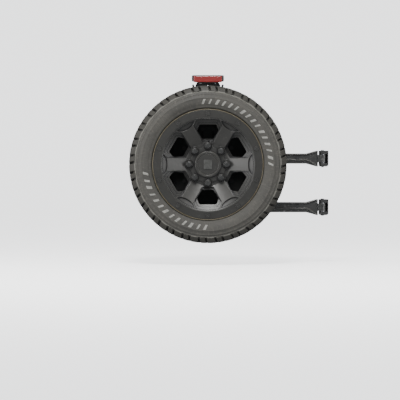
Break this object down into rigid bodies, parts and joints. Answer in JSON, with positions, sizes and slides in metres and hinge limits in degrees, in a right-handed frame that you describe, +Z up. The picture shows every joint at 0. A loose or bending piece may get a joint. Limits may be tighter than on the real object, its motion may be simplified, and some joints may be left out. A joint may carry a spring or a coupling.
{
  "type": "spare tire carrier",
  "caption": "Hinged rear spare tire carrier: two black ribbed hinge arms on body brackets, a frame with an adjustable wheel mount, a dark wheel with off-road tyre and a red brake lamp above.",
  "frame": {"origin": "centre of the four gate bolts in the plane of the tailgate's surface, straight behind the wheel's centre", "axes": "+X right towards the hinges, +Y forward into the vehicle, +Z up; the wheel's face looks towards -Y"},
  "size_m": [1.084, 0.3865, 0.911],
  "materials": {
    "bracket_coat": "satin black powder coat",
    "gasket_rubber": "matt black rubber",
    "pin_steel": "dark zinc plated steel",
    "arm_coat": "satin black powder coat, worn lighter on the ribs",
    "bushing_bronze": "sintered bronze",
    "bolt_black": "black oxide steel",
    "bolt_zinc": "zinc plated steel",
    "rest_rubber": "matt black moulded rubber",
    "frame_coat": "matt black powder coat",
    "mast_coat": "matt black powder coat",
    "lamp_body": "black moulded plastic",
    "lamp_red": "red transparent plastic, ribbed inside",
    "board_green": "circuit board",
    "led_clear": "clear resin",
    "tyre_rubber": "dusty dark grey rubber",
    "rim_coat": "satin dark grey coat",
    "lip_coat": "satin dark grey coat",
    "lip_bolt_steel": "dark coated steel",
    "valve_rubber": "black rubber",
    "weight_lead": "grey metal",
    "nut_black": "dark coated steel",
    "cap_black": "satin dark grey plastic",
    "badge_grey": "plain grey insert"
  },
  "bodies": {
    "body_side": {"upper_hinge_bracket": "bracket_coat", "lower_hinge_bracket": "bracket_coat", "upper_hinge_gasket": "gasket_rubber", "lower_hinge_gasket": "gasket_rubber", "upper_hinge_pin": "pin_steel", "lower_hinge_pin": "pin_steel"},
    "wheel_seat": {"mount_plate": "frame_coat", "mount_tube": "frame_coat", "mount_gussets": "frame_coat", "stud_flange": "frame_coat", "wheel_studs": "bolt_zinc"},
    "lamp": {"lamp_mast": "mast_coat", "mast_stops": "rest_rubber", "cable_gland": "gasket_rubber", "lamp_housing": "lamp_body", "lamp_foot": "lamp_body", "lamp_board": "board_green", "lamp_leds": "led_clear", "lamp_lens": "lamp_red", "lamp_screws": "bolt_zinc"},
    "wheel": {"tyre": "tyre_rubber", "rim_disc": "rim_coat", "rim_barrel": "rim_coat", "lip_ring": "lip_coat", "lip_bolts": "lip_bolt_steel", "valve_stem": "valve_rubber", "valve_cap": "valve_rubber", "balance_weights": "weight_lead"},
    "nuts": {"lug_nuts": "nut_black"},
    "cap": {"cap_ring": "cap_black", "cap_disc": "cap_black", "cap_badge": "badge_grey"},
    "carrier": {"carrier_frame": "frame_coat", "gate_bolts": "bolt_black", "gate_pads": "gasket_rubber", "left_tyre_rest": "rest_rubber", "lower_arm_bolts": "bolt_black", "lower_arm_screw": "bolt_black", "lower_hinge_arm": "arm_coat", "lower_hinge_bushing": "bushing_bronze", "lower_hinge_washers": "pin_steel", "lower_tyre_rest": "rest_rubber", "mast_bolts": "bolt_black", "mast_washers": "bolt_black", "mount_bolts": "bolt_black", "mount_washers": "bolt_black", "upper_arm_bolts": "bolt_black", "upper_arm_screw": "bolt_black", "upper_hinge_arm": "arm_coat", "upper_hinge_bushing": "bushing_bronze", "upper_hinge_washers": "pin_steel", "upper_tyre_rest": "rest_rubber"}
  },
  "joints": [
    {"name": "gate_swing", "type": "hinge", "parent": "body_side", "child": "carrier", "pos_m": [0.63, -0.032, 0.033], "axis": [0, 0, 1], "range_deg": [0, 95]},
    {"name": "mount_height", "type": "slide", "parent": "carrier", "child": "wheel_seat", "axis": [0, 0, 1], "range_m": [-0.02, 0.02]},
    {"name": "wheel_off", "type": "slide", "parent": "wheel_seat", "child": "wheel", "axis": [0, -1, 0], "range_m": [0, 0.12]},
    {"name": "nuts_off", "type": "slide", "parent": "wheel", "child": "nuts", "axis": [0, -1, 0], "range_m": [0, 0.06]},
    {"name": "cap_off", "type": "slide", "parent": "wheel", "child": "cap", "axis": [0, -1, 0], "range_m": [0, 0.05]},
    {"name": "lamp_height", "type": "slide", "parent": "carrier", "child": "lamp", "axis": [0, 0, 1], "range_m": [0, 0.05]}
  ]
}
